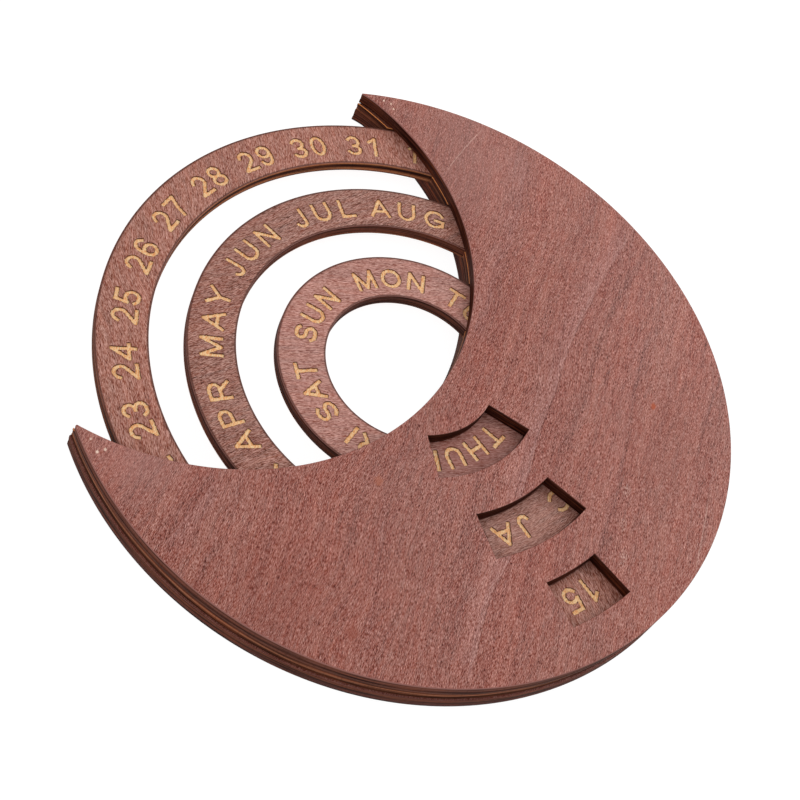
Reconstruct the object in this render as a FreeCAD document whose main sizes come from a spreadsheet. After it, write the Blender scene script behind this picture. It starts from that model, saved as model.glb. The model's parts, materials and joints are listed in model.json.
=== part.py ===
import FreeCAD, Part
import math
import os

import Sketcher

# A round desk calendar of laser-cut plywood. Three crescent sheets are glued on top of each other. The middle
# one is cut into four spacers, and the channels between them hold three flat rings: the dates, the months and
# the weekdays. The rings turn about one axis, show in the crescent's open side, and pass under three windows.
# Lengths are in millimetres and angles in degrees. The calendar lies on its back, so its face looks along +Z,
# and +Y points from the ring axis to the crescent's thick side.

SIZES = {
    # From the ring axis to the plate's edge: the hub, then the widths of the rings and spacers
    "hub_radius": 18.0,
    "weekday_ring_width": 10.7,
    "month_weekday_spacer_width": 7.7,
    "month_ring_width": 10.6,
    "date_month_spacer_width": 6.7,
    "date_ring_width": 11.2,
    "rim_spacer_width": 7.1,
    # The round bite that makes a crescent of the round plate, and how much of the hub it leaves at the middle
    "bite_radius": 59.5,
    "hub_width": 9.65,
    "horn_tip_radius": 0.3,
    # The sheets
    "back_sheet": 3.0,
    "spacer_sheet": 3.0,
    "front_sheet": 3.0,
    # The room that a ring has round its edges and over and under its faces
    "edge_play": 0.5,
    "face_play": 0.15,
    # The windows stand in one row, so many degrees clockwise from +Y
    "window_row_angle": 24.6,
    # How far each ring reaches under its window's inner and outer edge, and the angle that the window spans
    "date_inner_cover": 0.5,
    "date_outer_cover": 0.5,
    "date_window_angle": 13.9,
    "month_inner_cover": 0.5,
    "month_outer_cover": 0.2,
    "month_window_angle": 30.3,
    "weekday_inner_cover": 0.6,
    "weekday_outer_cover": 0.2,
    "weekday_window_angle": 53.2,
}
DIALS = ("weekday", "month", "date")

SHEET_NAME = "Sizes"
UP = FreeCAD.Vector(0, 0, 1)
ORIGIN = FreeCAD.Vector(0, 0, 0)

# A sketch numbers the points of an edge in this order, and its own origin is the start of edge -1
POINTS = ("whole edge", "start", "end", "centre")
START = POINTS.index("start")
END = POINTS.index("end")
CENTRE = POINTS.index("centre")
SKETCH_ORIGIN = (-1, START)


class Size:
    """A size of the sheet, or a sum of such sizes: its text in an expression, and its value."""

    def __init__(self, text, value):
        self.text = text
        self.value = value

    def __add__(self, other):
        return Size("({} + {})".format(self.text, other.text), self.value + other.value)

    def __sub__(self, other):
        return Size("({} - {})".format(self.text, other.text), self.value - other.value)

    def half(self):
        return Size("({} / 2)".format(self.text), self.value / 2)


TABLE_LEVEL = Size("0", 0)
RIGHT_ANGLE = Size("90", 90)


def size(name):
    return Size("{}.{}".format(SHEET_NAME, name), SIZES[name])


def write_sheet(doc):
    """Each size gets a row: its name, and its value in a cell of that name."""
    sheet = doc.addObject("Spreadsheet::Sheet", SHEET_NAME)
    for row, (name, value) in enumerate(SIZES.items(), start=1):
        sheet.set("A{}".format(row), name)
        sheet.set("B{}".format(row), str(value))
        sheet.setAlias("B{}".format(row), name)
    doc.recompute()


# Sizes that follow from the ones above, from the ring axis outwards

def channel_inner(dial):
    """The wall inside a ring: the hub's edge, or that of the spacer round the ring before."""
    if dial == "weekday":
        return size("hub_radius")
    before = DIALS[DIALS.index(dial) - 1]
    return channel_outer(before) + size("{}_{}_spacer_width".format(dial, before))


def ring_inner(dial):
    return channel_inner(dial) + size("edge_play")


def ring_outer(dial):
    return ring_inner(dial) + size(dial + "_ring_width")


def channel_outer(dial):
    return ring_outer(dial) + size("edge_play")


def plate_radius():
    return channel_outer("date") + size("rim_spacer_width")


def bite_drop():
    """How far the bite's centre lies below the ring axis, so that it leaves the hub its width."""
    return size("bite_radius") + size("hub_width") - size("hub_radius")


def ring_thickness():
    return size("spacer_sheet") - size("face_play") - size("face_play")


def spacer_level():
    return size("back_sheet")


def front_level():
    return size("back_sheet") + size("spacer_sheet")


def axis_place():
    """The ring axis from the middle of the whole outline, which runs from the plate to the date ring."""
    return (ring_outer("date") - plate_radius()).half()


# Sketches and features

def new_body(doc, label, level):
    """A piece that is drawn about the ring axis and lies at its own level."""
    body = doc.addObject("PartDesign::Body", label)
    body.Label = label
    body.setExpression(".Placement.Base.y", axis_place().text)
    body.setExpression(".Placement.Base.z", level.text)
    return body


def new_sketch(body, name):
    sketch = body.newObject("Sketcher::SketchObject", name)
    planes = [plane for plane in body.Origin.OriginFeatures if plane.Role == "XY_Plane"]
    sketch.AttachmentSupport = (planes[0], "")
    sketch.MapMode = "FlatFace"
    return sketch


def drive(sketch, constraint, name, expression):
    """Add a constraint, and let an expression of the sheet's sizes set it."""
    index = sketch.addConstraint(constraint)
    sketch.renameConstraint(index, name)
    sketch.setExpression("Constraints." + name, expression)


def add_circle(sketch, name, radius, drop=None):
    """A circle about the sketch's origin, or at a distance straight below it."""
    centre = ORIGIN if drop is None else FreeCAD.Vector(0, -drop.value, 0)
    edge = sketch.addGeometry(Part.Circle(centre, UP, radius.value), False)
    if drop is None:
        sketch.addConstraint(Sketcher.Constraint("Coincident", edge, CENTRE, *SKETCH_ORIGIN))
    else:
        sketch.addConstraint(Sketcher.Constraint("Vertical", edge, CENTRE, *SKETCH_ORIGIN))
        gap = Sketcher.Constraint("DistanceY", edge, CENTRE, *SKETCH_ORIGIN, drop.value)
        drive(sketch, gap, name + "_drop", drop.text)
    drive(sketch, Sketcher.Constraint("Radius", edge, radius.value), name + "_radius", radius.text)


def add_arc(sketch, name, radius, first, last):
    """An arc about the sketch's origin, between two angles."""
    circle = Part.Circle(ORIGIN, UP, radius.value)
    arc = Part.ArcOfCircle(circle, math.radians(first.value), math.radians(last.value))
    edge = sketch.addGeometry(arc, False)
    sketch.addConstraint(Sketcher.Constraint("Coincident", edge, CENTRE, *SKETCH_ORIGIN))
    drive(sketch, Sketcher.Constraint("Radius", edge, radius.value), name + "_radius", radius.text)
    return edge


def polar(radius, angle):
    turn = math.radians(angle.value)
    return FreeCAD.Vector(radius.value * math.cos(turn), radius.value * math.sin(turn), 0)


def add_side(sketch, name, arcs, point, radii, angle):
    """A window's straight side, which points at the origin and joins its two arcs."""
    inner, outer = arcs
    side = Part.LineSegment(polar(radii[0], angle), polar(radii[1], angle))
    edge = sketch.addGeometry(side, False)
    sketch.addConstraint(Sketcher.Constraint("Coincident", inner, point, edge, START))
    sketch.addConstraint(Sketcher.Constraint("Coincident", outer, point, edge, END))
    sketch.addConstraint(Sketcher.Constraint("PointOnObject", *SKETCH_ORIGIN, edge))
    tilt = Sketcher.Constraint("Angle", edge, math.radians(angle.value))
    drive(sketch, tilt, name + "_angle", angle.text + " * 1 deg")


def pad(body, sketch, thickness):
    feature = body.newObject("PartDesign::Pad", sketch.Name + "_pad")
    feature.Profile = sketch
    feature.setExpression("Length", thickness.text)
    sketch.Visibility = False
    body.Document.recompute()


def cut_through(body, sketch):
    """Cut a sketch's outline through the whole sheet, upwards from its back, and see that it cut."""
    before = body.Shape.Volume
    feature = body.newObject("PartDesign::Pocket", sketch.Name + "_cut")
    feature.Profile = sketch
    feature.Type = "ThroughAll"
    feature.Reversed = True
    sketch.Visibility = False
    body.Document.recompute()
    if not body.Shape.Volume < before:
        raise RuntimeError("{} cuts nothing".format(feature.Name))


def cut_bite(body):
    """The round bite that makes a crescent of a disc, and that ends each spacer at the open side."""
    sketch = new_sketch(body, body.Label + "_bite")
    add_circle(sketch, "bite", size("bite_radius"), bite_drop())
    cut_through(body, sketch)


def horn_edges(shape):
    """The upright edges at the two ends of the crescent, which lie furthest below the ring axis."""
    upright = []
    for number, edge in enumerate(shape.Edges, start=1):
        low, high = (vertex.Point for vertex in edge.Vertexes)
        if abs(high.x - low.x) + abs(high.y - low.y) < Part.Precision.confusion():
            upright.append((low.y, number))
    upright.sort()
    return ["Edge{}".format(number) for place, number in upright[:2]]


def round_horns(body):
    crescent = body.Tip
    feature = body.newObject("PartDesign::Fillet", body.Label + "_tips")
    feature.Base = (crescent, horn_edges(crescent.Shape))
    feature.setExpression("Radius", size("horn_tip_radius").text)
    body.Document.recompute()


def cut_window(body, dial):
    """A window as high as its ring is wide, less the covered edges, between two rays from the axis."""
    inner = ring_inner(dial) + size(dial + "_inner_cover")
    outer = ring_outer(dial) - size(dial + "_outer_cover")
    middle = RIGHT_ANGLE - size("window_row_angle")
    first = middle - size(dial + "_window_angle").half()
    last = middle + size(dial + "_window_angle").half()
    sketch = new_sketch(body, dial + "_window")
    arcs = (
        add_arc(sketch, "inner", inner, first, last),
        add_arc(sketch, "outer", outer, first, last),
    )
    add_side(sketch, "first", arcs, START, (inner, outer), first)
    add_side(sketch, "last", arcs, END, (inner, outer), last)
    cut_through(body, sketch)


# The pieces

def make_plate(doc, label, thickness, level):
    """A whole crescent sheet."""
    body = new_body(doc, label, level)
    sketch = new_sketch(body, label + "_outline")
    add_circle(sketch, "plate", plate_radius())
    pad(body, sketch, thickness)
    cut_bite(body)
    round_horns(body)
    return body


def make_back_plate(doc):
    return make_plate(doc, "back_plate", size("back_sheet"), TABLE_LEVEL)


def make_front_plate(doc):
    body = make_plate(doc, "front_plate", size("front_sheet"), front_level())
    for dial in DIALS:
        cut_window(body, dial)
    return body


def make_spacer(doc, label, outer, inner=None):
    """A piece of the middle sheet: what lies between two channels, less the bite."""
    body = new_body(doc, label, spacer_level())
    sketch = new_sketch(body, label + "_outline")
    add_circle(sketch, "outer", outer)
    if inner is not None:
        add_circle(sketch, "inner", inner)
    pad(body, sketch, size("spacer_sheet"))
    cut_bite(body)
    return body


def make_spacers(doc):
    rim = make_spacer(doc, "rim_spacer", plate_radius(), channel_outer("date"))
    round_horns(rim)
    return [
        rim,
        make_spacer(doc, "date_month_spacer", channel_inner("date"), channel_outer("month")),
        make_spacer(doc, "month_weekday_spacer", channel_inner("month"), channel_outer("weekday")),
        make_spacer(doc, "hub_spacer", channel_inner("weekday")),
    ]


def make_ring(doc, dial):
    """A flat ring that lies in its channel with play all round."""
    label = dial + "_ring"
    body = new_body(doc, label, spacer_level() + size("face_play"))
    sketch = new_sketch(body, label + "_outline")
    add_circle(sketch, "outer", ring_outer(dial))
    add_circle(sketch, "inner", ring_inner(dial))
    pad(body, sketch, ring_thickness())
    return body


def check(doc, bodies):
    """Stop before anything is written if a feature failed or a piece is not one sound solid."""
    for thing in doc.Objects:
        if "Invalid" in thing.State or "Error" in thing.State:
            raise RuntimeError("{} failed: {}".format(thing.Label, thing.State))
    for body in bodies:
        if body.Shape.isNull() or not body.Shape.isValid() or len(body.Shape.Solids) != 1:
            raise RuntimeError("{} is not one valid solid".format(body.Label))


def main():
    doc = FreeCAD.newDocument("desk_calendar")
    write_sheet(doc)
    bodies = [make_back_plate(doc)]
    bodies += make_spacers(doc)
    bodies += [make_ring(doc, dial) for dial in DIALS]
    bodies.append(make_front_plate(doc))
    doc.recompute()
    check(doc, bodies)
    os.makedirs("parts", exist_ok=True)
    for body in bodies:
        body.Shape.exportStep("parts/{}.step".format(body.Label))
        print("{}: {:.1f} mm3".format(body.Label, body.Shape.Volume))


main()
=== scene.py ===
"""Perpetual desk calendar in stained plywood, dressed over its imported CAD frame.

Three laser-cut sheets are glued into a crescent, and three lettered rings turn inside its middle
sheet. Every sheet here is a real mesh with rounded arrises, stepped plies on its cut edge and, on
the rings, letters that are sunk into the face.

Shapes are drawn in millimetres in the plane of the sheets, from the axis that the rings share.
Angles in the plane run clockwise from +Y, as they are read from the front. Bench turns the
millimetres into metres of the row frame.
"""

from __future__ import annotations

import json
import logging
import math
from dataclasses import dataclass, field
from enum import Enum

import bpy
import numpy as np
from mathutils import Matrix, Vector
from mathutils.geometry import delaunay_2d_cdt

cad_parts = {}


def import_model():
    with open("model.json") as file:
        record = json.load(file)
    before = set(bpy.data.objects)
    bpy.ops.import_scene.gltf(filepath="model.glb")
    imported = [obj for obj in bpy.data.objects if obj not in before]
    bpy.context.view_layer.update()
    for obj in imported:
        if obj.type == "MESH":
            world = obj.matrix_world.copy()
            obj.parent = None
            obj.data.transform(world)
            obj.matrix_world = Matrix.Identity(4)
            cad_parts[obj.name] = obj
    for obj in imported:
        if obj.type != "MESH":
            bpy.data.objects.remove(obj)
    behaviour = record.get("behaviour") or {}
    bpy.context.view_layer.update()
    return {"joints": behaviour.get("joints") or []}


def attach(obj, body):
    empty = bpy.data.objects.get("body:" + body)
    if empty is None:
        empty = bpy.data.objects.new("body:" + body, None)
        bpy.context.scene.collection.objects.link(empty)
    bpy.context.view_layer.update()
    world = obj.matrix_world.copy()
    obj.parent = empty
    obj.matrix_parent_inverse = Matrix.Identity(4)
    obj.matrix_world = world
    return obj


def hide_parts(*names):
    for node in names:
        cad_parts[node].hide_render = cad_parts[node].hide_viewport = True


log = logging.getLogger("desk_calendar")

Colour = tuple[float, float, float]
Point = tuple[float, float]
Triple = tuple[float, float, float]

MM = 0.001

# Largest angle in degrees between two points of an arc, of a horn's tip and of an ellipse
ARC_STEP = 1.0
TIP_STEP = 15.0
ELLIPSE_STEP = 15.0

# Angle in degrees, about the bite's centre, over which the bite's cut drifts at a horn's tip
LEAD_SPAN = 4.0

# Points of a window's side, steps of a spacer's short cut, and a stroke's longest step in mm
SIDE_POINTS = 31
CUT_STEPS = 12
STROKE_STEP = 0.3

# Points of a stroke's end, and the exponent of the superellipse that it follows
CAP_POINTS = 9
CAP_POWER = 5.0

# A stroke's surroundings reach this many half strokes from it, and what lies beyond is this far off in mm
NEARBY = 3.0
FAR = 1e3

# What counts as one point in a triangulation, in mm, and twice the area in square mm of no triangle
SAME_POINT = 1e-5
NO_AREA = 1e-9

# Corners are rounded to one of this many parts of a mm and welded, and larger angles than this stay sharp
WELDS_PER_MM = 2e4
CREASE = 40.0

# Letterforms are in thousandths of the type size: their height, half a stroke, and the left stem's place
CAP_UNITS = 716.0
HALF_STROKE_UNITS = 47.0
LOW, HIGH = HALF_STROKE_UNITS, CAP_UNITS - HALF_STROKE_UNITS
LEFT = 125.0


class Body(Enum):
    """The CAD bodies that the pieces ride on."""

    HOLDER = "holder"
    DATE = "date_dial"
    MONTH = "month_dial"
    WEEKDAY = "weekday_dial"


class Slot(Enum):
    """The record's material slots."""

    PLATE = "plate_ply"
    SPACER = "spacer_ply"
    RING = "ring_ply"


class Surface(Enum):
    """The kinds of surface on a sheet, in the order of its material slots."""

    FACE = 0
    EDGE = 1
    ENGRAVED = 2
    RECESS = 3


class MarkKind(Enum):
    """The small marks that a veneer shows, and the soft patches that paint light and shade on it."""

    KNOT = "knot"
    # A soft patch: tone in the wood, and on the rings painted shade and painted light where they show through
    # their windows
    CLOUD = "cloud"
    SCUFF = "scuff"
    SPECK = "speck"


def srgb(red: int, green: int, blue: int) -> Colour:
    """Turn 8-bit display values into the linear colour that a shader takes.

    Args:
        red: Red, 0 to 255.
        green: Green, 0 to 255.
        blue: Blue, 0 to 255.

    Returns:
        The colour as three linear numbers.
    """
    share = np.array([red, green, blue]) / 255.0
    linear = np.where(share <= 0.04045, share / 12.92, ((share + 0.055) / 1.055) ** 2.4)
    return tuple(float(x) for x in linear)


def arc(centre: Point, radius: float, start: float, end: float, step: float = ARC_STEP) -> np.ndarray:
    """Points of a circular arc: the centre plus the radius times (sine, cosine) of the angle.

    Args:
        centre: Centre of the circle, in mm.
        radius: Its radius, in mm.
        start: First angle, in degrees clockwise from +Y.
        end: Last angle.
        step: Largest angle between two points.

    Returns:
        An array of points, both ends among them.
    """
    count = max(2, int(math.ceil(abs(end - start) / step)) + 1)
    turn = np.radians(np.linspace(start, end, count))
    return np.column_stack([centre[0] + radius * np.sin(turn), centre[1] + radius * np.cos(turn)])


def winding(points: np.ndarray, loop: np.ndarray) -> np.ndarray:
    """Count how often a closed loop turns about each point.

    An edge that crosses the point's height upwards with the point on its left counts one, and one
    that crosses it downwards with the point on its right counts minus one.

    Args:
        points: The points, one row each.
        loop: The loop's corners, not repeated at its end.

    Returns:
        One whole number for each point.
    """
    tail, head = loop, np.roll(loop, -1, axis=0)
    x, y = points[:, :1], points[:, 1:]
    side = (head[:, 0] - tail[:, 0]) * (y - tail[:, 1]) - (x - tail[:, 0]) * (head[:, 1] - tail[:, 1])
    up = (tail[:, 1] <= y) & (head[:, 1] > y) & (side > 0)
    down = (tail[:, 1] > y) & (head[:, 1] <= y) & (side < 0)
    return up.sum(axis=1) - down.sum(axis=1)


def ring_of(count: int, first: int = 0) -> np.ndarray:
    """The index pairs that join count points, numbered from first, into a closed loop."""
    index = np.arange(count)
    return np.column_stack([index, (index + 1) % count]) + first


def triangulate(points: np.ndarray, segments: np.ndarray) -> tuple[np.ndarray, np.ndarray]:
    """Delaunay triangles of points that keep every given segment as an edge.

    Args:
        points: The points, in mm.
        segments: Pairs of indices of points.

    Returns:
        The points, with one more at each crossing of two segments, and the triangles, all
        counterclockwise.
    """
    verts, _, faces, origins, _, _ = delaunay_2d_cdt(
        [Vector(p) for p in points.tolist()], segments.tolist(), [], 0, SAME_POINT, True
    )
    flat = np.array([v[:] for v in verts], float)
    known = np.array([o[0] if o else -1 for o in origins])
    flat[known >= 0] = points[known[known >= 0]]
    tris = np.array(faces, int)
    a, b, c = (flat[tris[:, k]] for k in range(3))
    area = (b[:, 0] - a[:, 0]) * (c[:, 1] - a[:, 1]) - (c[:, 0] - a[:, 0]) * (b[:, 1] - a[:, 1])
    tris[area < 0] = tris[area < 0][:, ::-1]
    return flat, tris[np.abs(area) > NO_AREA]


def add_object(name: str, data: bpy.types.ID) -> bpy.types.Object:
    """Make an object and link it to the scene.

    Args:
        name: Its name.
        data: The mesh, lamp or camera that it shows.

    Returns:
        The object.
    """
    made = bpy.data.objects.new(name, data)
    bpy.context.scene.collection.objects.link(made)
    return made


@dataclass(frozen=True)
class Bench:
    """Where the drawing lies in the row frame.

    Attributes:
        axis: The rings' axis in the row frame, in metres.
    """

    axis: Point

    def place(self, points: np.ndarray) -> np.ndarray:
        """Turn points of the drawing, in mm, into metres of the row frame."""
        return points * MM + np.array([self.axis[0], self.axis[1], 0.0])

    def spot(self, x: float = 0.0, y: float = 0.0) -> Triple:
        """One place of the drawing, in mm, as a node's origin in metres."""
        return self.axis[0] + x * MM, self.axis[1] + y * MM, 0.0


@dataclass
class Shell:
    """Gathers the surfaces of one sheet and welds them into a closed mesh.

    Attributes:
        corners: Arrays of corners, in mm.
        faces: Arrays of triangles, which count from the first corner of all.
        kinds: For each array of triangles, what surface they are.
        scorch: Arrays of how burnt each corner is, 0 to 1.
    """

    corners: list[np.ndarray] = field(default_factory=list)
    faces: list[np.ndarray] = field(default_factory=list)
    kinds: list[Surface] = field(default_factory=list)
    scorch: list[np.ndarray] = field(default_factory=list)

    def add(self, corners: np.ndarray, faces: np.ndarray, kind: Surface, scorch: np.ndarray) -> None:
        """Add a surface.

        Args:
            corners: Its corners, three numbers each, in mm.
            faces: Its triangles, counted from its own first corner.
            kind: What surface it is.
            scorch: How burnt each corner is.
        """
        first = sum(len(c) for c in self.corners)
        self.corners.append(corners)
        self.faces.append(faces + first)
        self.kinds.append(kind)
        self.scorch.append(scorch)

    def add_band(self, rows: np.ndarray, kind: Surface, scorch: np.ndarray) -> None:
        """Add a closed band: a grid of loops, one under the other.

        Args:
            rows: Corners by loop and by place along it, the highest loop first.
            kind: What surface it is.
            scorch: How burnt each place along the loop is.
        """
        deep, count = rows.shape[:2]
        k, i = np.meshgrid(np.arange(deep - 1), np.arange(count), indexing="ij")
        nxt = (i + 1) % count
        a, b, c, d = (k * count + i, (k + 1) * count + i, (k + 1) * count + nxt, k * count + nxt)
        quads = np.stack([a, b, c, d], axis=-1).reshape(-1, 4)
        tris = np.vstack([quads[:, [0, 1, 2]], quads[:, [0, 2, 3]]])
        self.add(rows.reshape(-1, 3), tris, kind, np.tile(scorch, deep))

    def build(self, name: str, bench: Bench) -> bpy.types.Object:
        """Weld corners that lie on each other and make the Blender object.

        Args:
            name: Name of the piece.
            bench: Where the drawing lies.

        Returns:
            The object, at the origin.
        """
        corners = np.vstack(self.corners)
        faces = np.vstack(self.faces)
        kinds = np.concatenate([np.full(len(f), k.value) for f, k in zip(self.faces, self.kinds)])
        scorch = np.concatenate(self.scorch)[faces]
        _, keep, weld = np.unique(
            np.round(corners * WELDS_PER_MM), axis=0, return_index=True, return_inverse=True
        )
        faces = weld.ravel()[faces]
        whole = (faces[:, 0] != faces[:, 1]) & (faces[:, 1] != faces[:, 2]) & (faces[:, 2] != faces[:, 0])
        faces, kinds, scorch = faces[whole], kinds[whole], scorch[whole]
        mesh = bpy.data.meshes.new(name)
        mesh.vertices.add(len(keep))
        mesh.vertices.foreach_set("co", bench.place(corners[keep]).astype(np.float32).ravel())
        mesh.loops.add(faces.size)
        mesh.loops.foreach_set("vertex_index", faces.astype(np.int32).ravel())
        mesh.polygons.add(len(faces))
        mesh.polygons.foreach_set("loop_start", np.arange(0, faces.size, 3, dtype=np.int32))
        mesh.polygons.foreach_set("material_index", kinds.astype(np.int32))
        mesh.polygons.foreach_set("use_smooth", kinds == Surface.EDGE.value)
        burnt = mesh.attributes.new("scorch", "FLOAT", "CORNER")
        burnt.data.foreach_set("value", scorch.astype(np.float32).ravel())
        mesh.update(calc_edges=True)
        mesh.validate()
        mesh.set_sharp_from_angle(angle=math.radians(CREASE))
        return add_object(name, mesh)


class Outline:
    """A closed line that a laser cuts, counterclockwise round a sheet or clockwise round a hole."""

    def points(self, inset: float) -> np.ndarray:
        """The line's corners, moved into the wood by inset mm. Their number never changes."""
        raise NotImplementedError

    def scorch(self) -> np.ndarray:
        """How burnt the cut is at each corner, 0 to 1."""
        raise NotImplementedError


@dataclass(frozen=True)
class CircleOutline(Outline):
    """A full circle: radius times (sine, cosine) of the angle.

    Attributes:
        radius: Its radius, in mm.
        is_hole: Whether the wood is outside it.
        char: How burnt its cut is.
    """

    radius: float
    is_hole: bool = False
    char: float = 0.5

    def points(self, inset: float) -> np.ndarray:
        """See Outline.points."""
        radius = self.radius + inset if self.is_hole else self.radius - inset
        loop = arc((0.0, 0.0), radius, 0.0, 360.0)[:-1]
        return loop if self.is_hole else loop[::-1]

    def scorch(self) -> np.ndarray:
        """See Outline.scorch."""
        return np.full(len(self.points(0.0)), self.char)


@dataclass(frozen=True)
class Bite:
    """The round bite that turns the disc into a crescent.

    Attributes:
        radius: Its radius, in mm.
        drop: How far its centre lies below the rings' axis.
    """

    radius: float = 59.4
    drop: float = 51.15

    def crossing(self, radius: float, inset: float) -> tuple[float, float]:
        """Where the bite crosses a circle about the axis.

        The height of the crossing is (bite radius squared minus drop squared minus radius
        squared) over twice the drop.

        Args:
            radius: The circle's radius.
            inset: How far the bite's cut is moved into the wood.

        Returns:
            The crossing's angle about the axis and its angle about the bite's centre, both
            clockwise from +Y, on the +X side.
        """
        bite = self.radius + inset
        height = (bite**2 - self.drop**2 - radius**2) / (2 * self.drop)
        across = math.sqrt(radius**2 - height**2)
        return math.degrees(math.atan2(across, height)), math.degrees(math.atan2(across, height + self.drop))


@dataclass(frozen=True)
class CrescentOutline(Outline):
    """A disc less the bite, with rounded horn tips.

    Each tip is an arc about the point that lies its radius inside the disc and its radius outside
    the bite, so it meets both circles smoothly, and so it does at any inset.

    Attributes:
        radius: The disc's radius, in mm.
        bite: The bite.
        tips: Radius of the -X and of the +X horn tip.
        leads: How far the bite's cut drifts inwards over its last few degrees at the -X and at the
            +X tip, in mm.
        rim_char: How burnt the rim is.
        bite_char: How burnt the bite's cut is.
    """

    radius: float
    bite: Bite
    tips: Point = (0.15, 0.15)
    leads: Point = (0.0, 0.0)
    rim_char: float = 0.2
    bite_char: float = 0.8

    def _tip(self, side: float, bite: Bite, radius: float, inset: float) -> tuple[float, float, np.ndarray]:
        """One horn's tip: where it meets the disc, where it meets the bite, and its own arc.

        Args:
            side: -1 for the -X horn, 1 for the +X one.
            bite: The bite as it is at that horn.
            radius: The tip's radius.
            inset: How far the cut is moved into the wood.

        Returns:
            The angle about the axis, the angle about the bite's centre, and the arc's points
            without its two ends.
        """
        reach = self.radius - radius
        at_rim, at_bite = bite.crossing(reach, radius)
        turn = math.radians(at_rim)
        centre = (side * reach * math.sin(turn), reach * math.cos(turn))
        ends = (-at_rim, -180.0 - at_bite) if side < 0 else (180.0 + at_bite, at_rim)
        return at_rim, at_bite, arc(centre, radius - inset, *ends, TIP_STEP)[1:-1]

    def _runs(self, inset: float) -> list[np.ndarray]:
        """The parts of the outline.

        At each tip the bite's radius falls off by the lead times the square of how far the place is
        into the lead's span.

        Args:
            inset: How far the cut is moved into the wood.

        Returns:
            The rim, the -X tip, the bite and the +X tip.
        """
        drawn = [Bite(self.bite.radius - lead, self.bite.drop) for lead in self.leads]
        left_rim, left_bite, left = self._tip(-1.0, drawn[0], self.tips[0], inset)
        right_rim, right_bite, right = self._tip(1.0, drawn[1], self.tips[1], inset)
        bite = arc((0.0, 0.0), 1.0, -left_bite, right_bite)
        turn = np.degrees(np.arctan2(bite[:, 0], bite[:, 1]))
        drift = self.leads[0] * np.clip(1 - (turn + left_bite) / LEAD_SPAN, 0.0, 1.0) ** 2
        drift += self.leads[1] * np.clip(1 - (right_bite - turn) / LEAD_SPAN, 0.0, 1.0) ** 2
        bite = bite * (self.bite.radius + inset - drift)[:, None] - [0.0, self.bite.drop]
        return [arc((0.0, 0.0), self.radius - inset, right_rim, -left_rim), left, bite, right]

    def points(self, inset: float) -> np.ndarray:
        """See Outline.points."""
        return np.vstack(self._runs(inset))

    def scorch(self) -> np.ndarray:
        """See Outline.scorch."""
        middle = (self.rim_char + self.bite_char) / 2
        chars = (self.rim_char, middle, self.bite_char, middle)
        return np.concatenate([np.full(len(run), char) for run, char in zip(self._runs(0.0), chars)])


@dataclass(frozen=True)
class BandOutline(Outline):
    """A spacer between two channels: the band between two circles, less the bite.

    Attributes:
        inner: The inner circle's radius, or 0 for a solid hub.
        outer: The outer circle's radius.
        bite: The bite.
        rim_char: How burnt its round edges are.
        bite_char: How burnt the bite's cut is.
    """

    inner: float
    outer: float
    bite: Bite
    rim_char: float = 0.2
    bite_char: float = 0.82

    def _runs(self, inset: float) -> list[np.ndarray]:
        """The parts of the outline.

        Args:
            inset: How far the cut is moved into the wood.

        Returns:
            The outer arc, the -X cut, the inner arc and the +X cut, or for a hub only the outer arc
            and the bite.
        """
        below = (0.0, -self.bite.drop)
        bite = self.bite.radius + inset
        rim_out, bite_out = self.bite.crossing(self.outer - inset, inset)
        outer = arc((0.0, 0.0), self.outer - inset, rim_out, -rim_out)
        if not self.inner:
            return [outer, arc(below, bite, -bite_out, bite_out)[1:-1]]
        rim_in, bite_in = self.bite.crossing(self.inner + inset, inset)
        cut = arc(below, bite, -bite_out, -bite_in, abs(bite_out - bite_in) / CUT_STEPS)
        back = arc((0.0, 0.0), self.inner + inset, -rim_in, rim_in)
        return [outer, cut[1:-1], back, cut[1:-1][::-1] * np.array([-1.0, 1.0])]

    def points(self, inset: float) -> np.ndarray:
        """See Outline.points. Each run is resampled to the number of points that it has uncut."""
        runs = self._runs(inset)
        counts = [len(run) for run in self._runs(0.0)]
        return np.vstack([resample(run, count) for run, count in zip(runs, counts)])

    def scorch(self) -> np.ndarray:
        """See Outline.scorch."""
        chars = (self.rim_char, self.bite_char) * 2
        return np.concatenate([np.full(len(run), char) for run, char in zip(self._runs(0.0), chars)])


@dataclass(frozen=True)
class WindowOutline(Outline):
    """A window: the part of a band between two nearly radial sides.

    Attributes:
        inner: Radius of its inner side, in mm.
        outer: Radius of its outer side.
        inner_angles: Angles of its two inner corners, in degrees.
        outer_angles: Angles of its two outer corners.
        char: How burnt its cut is.
    """

    inner: float
    outer: float
    inner_angles: Point
    outer_angles: Point
    char: float = 1.0

    def points(self, inset: float) -> np.ndarray:
        """See Outline.points. A side moved by inset turns by the arc sine of inset over radius."""
        runs = []
        for radius, (low, high) in (
            (self.outer + inset, self.outer_angles),
            (self.inner - inset, self.inner_angles),
        ):
            more = math.degrees(math.asin(inset / radius))
            runs.append(resample(arc((0.0, 0.0), radius, low - more, high + more), SIDE_POINTS))
        return np.vstack([runs[0], runs[1][::-1]])

    def scorch(self) -> np.ndarray:
        """See Outline.scorch."""
        return np.full(2 * SIDE_POINTS, self.char)


def resample(run: np.ndarray, count: int) -> np.ndarray:
    """Count points at equal shares of a line's own list of points.

    Args:
        run: The line's points.
        count: How many points are wanted.

    Returns:
        The new points, both ends among them.
    """
    share = np.linspace(0.0, len(run) - 1.0, count)
    return np.column_stack([np.interp(share, np.arange(len(run)), run[:, k]) for k in range(2)])


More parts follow.
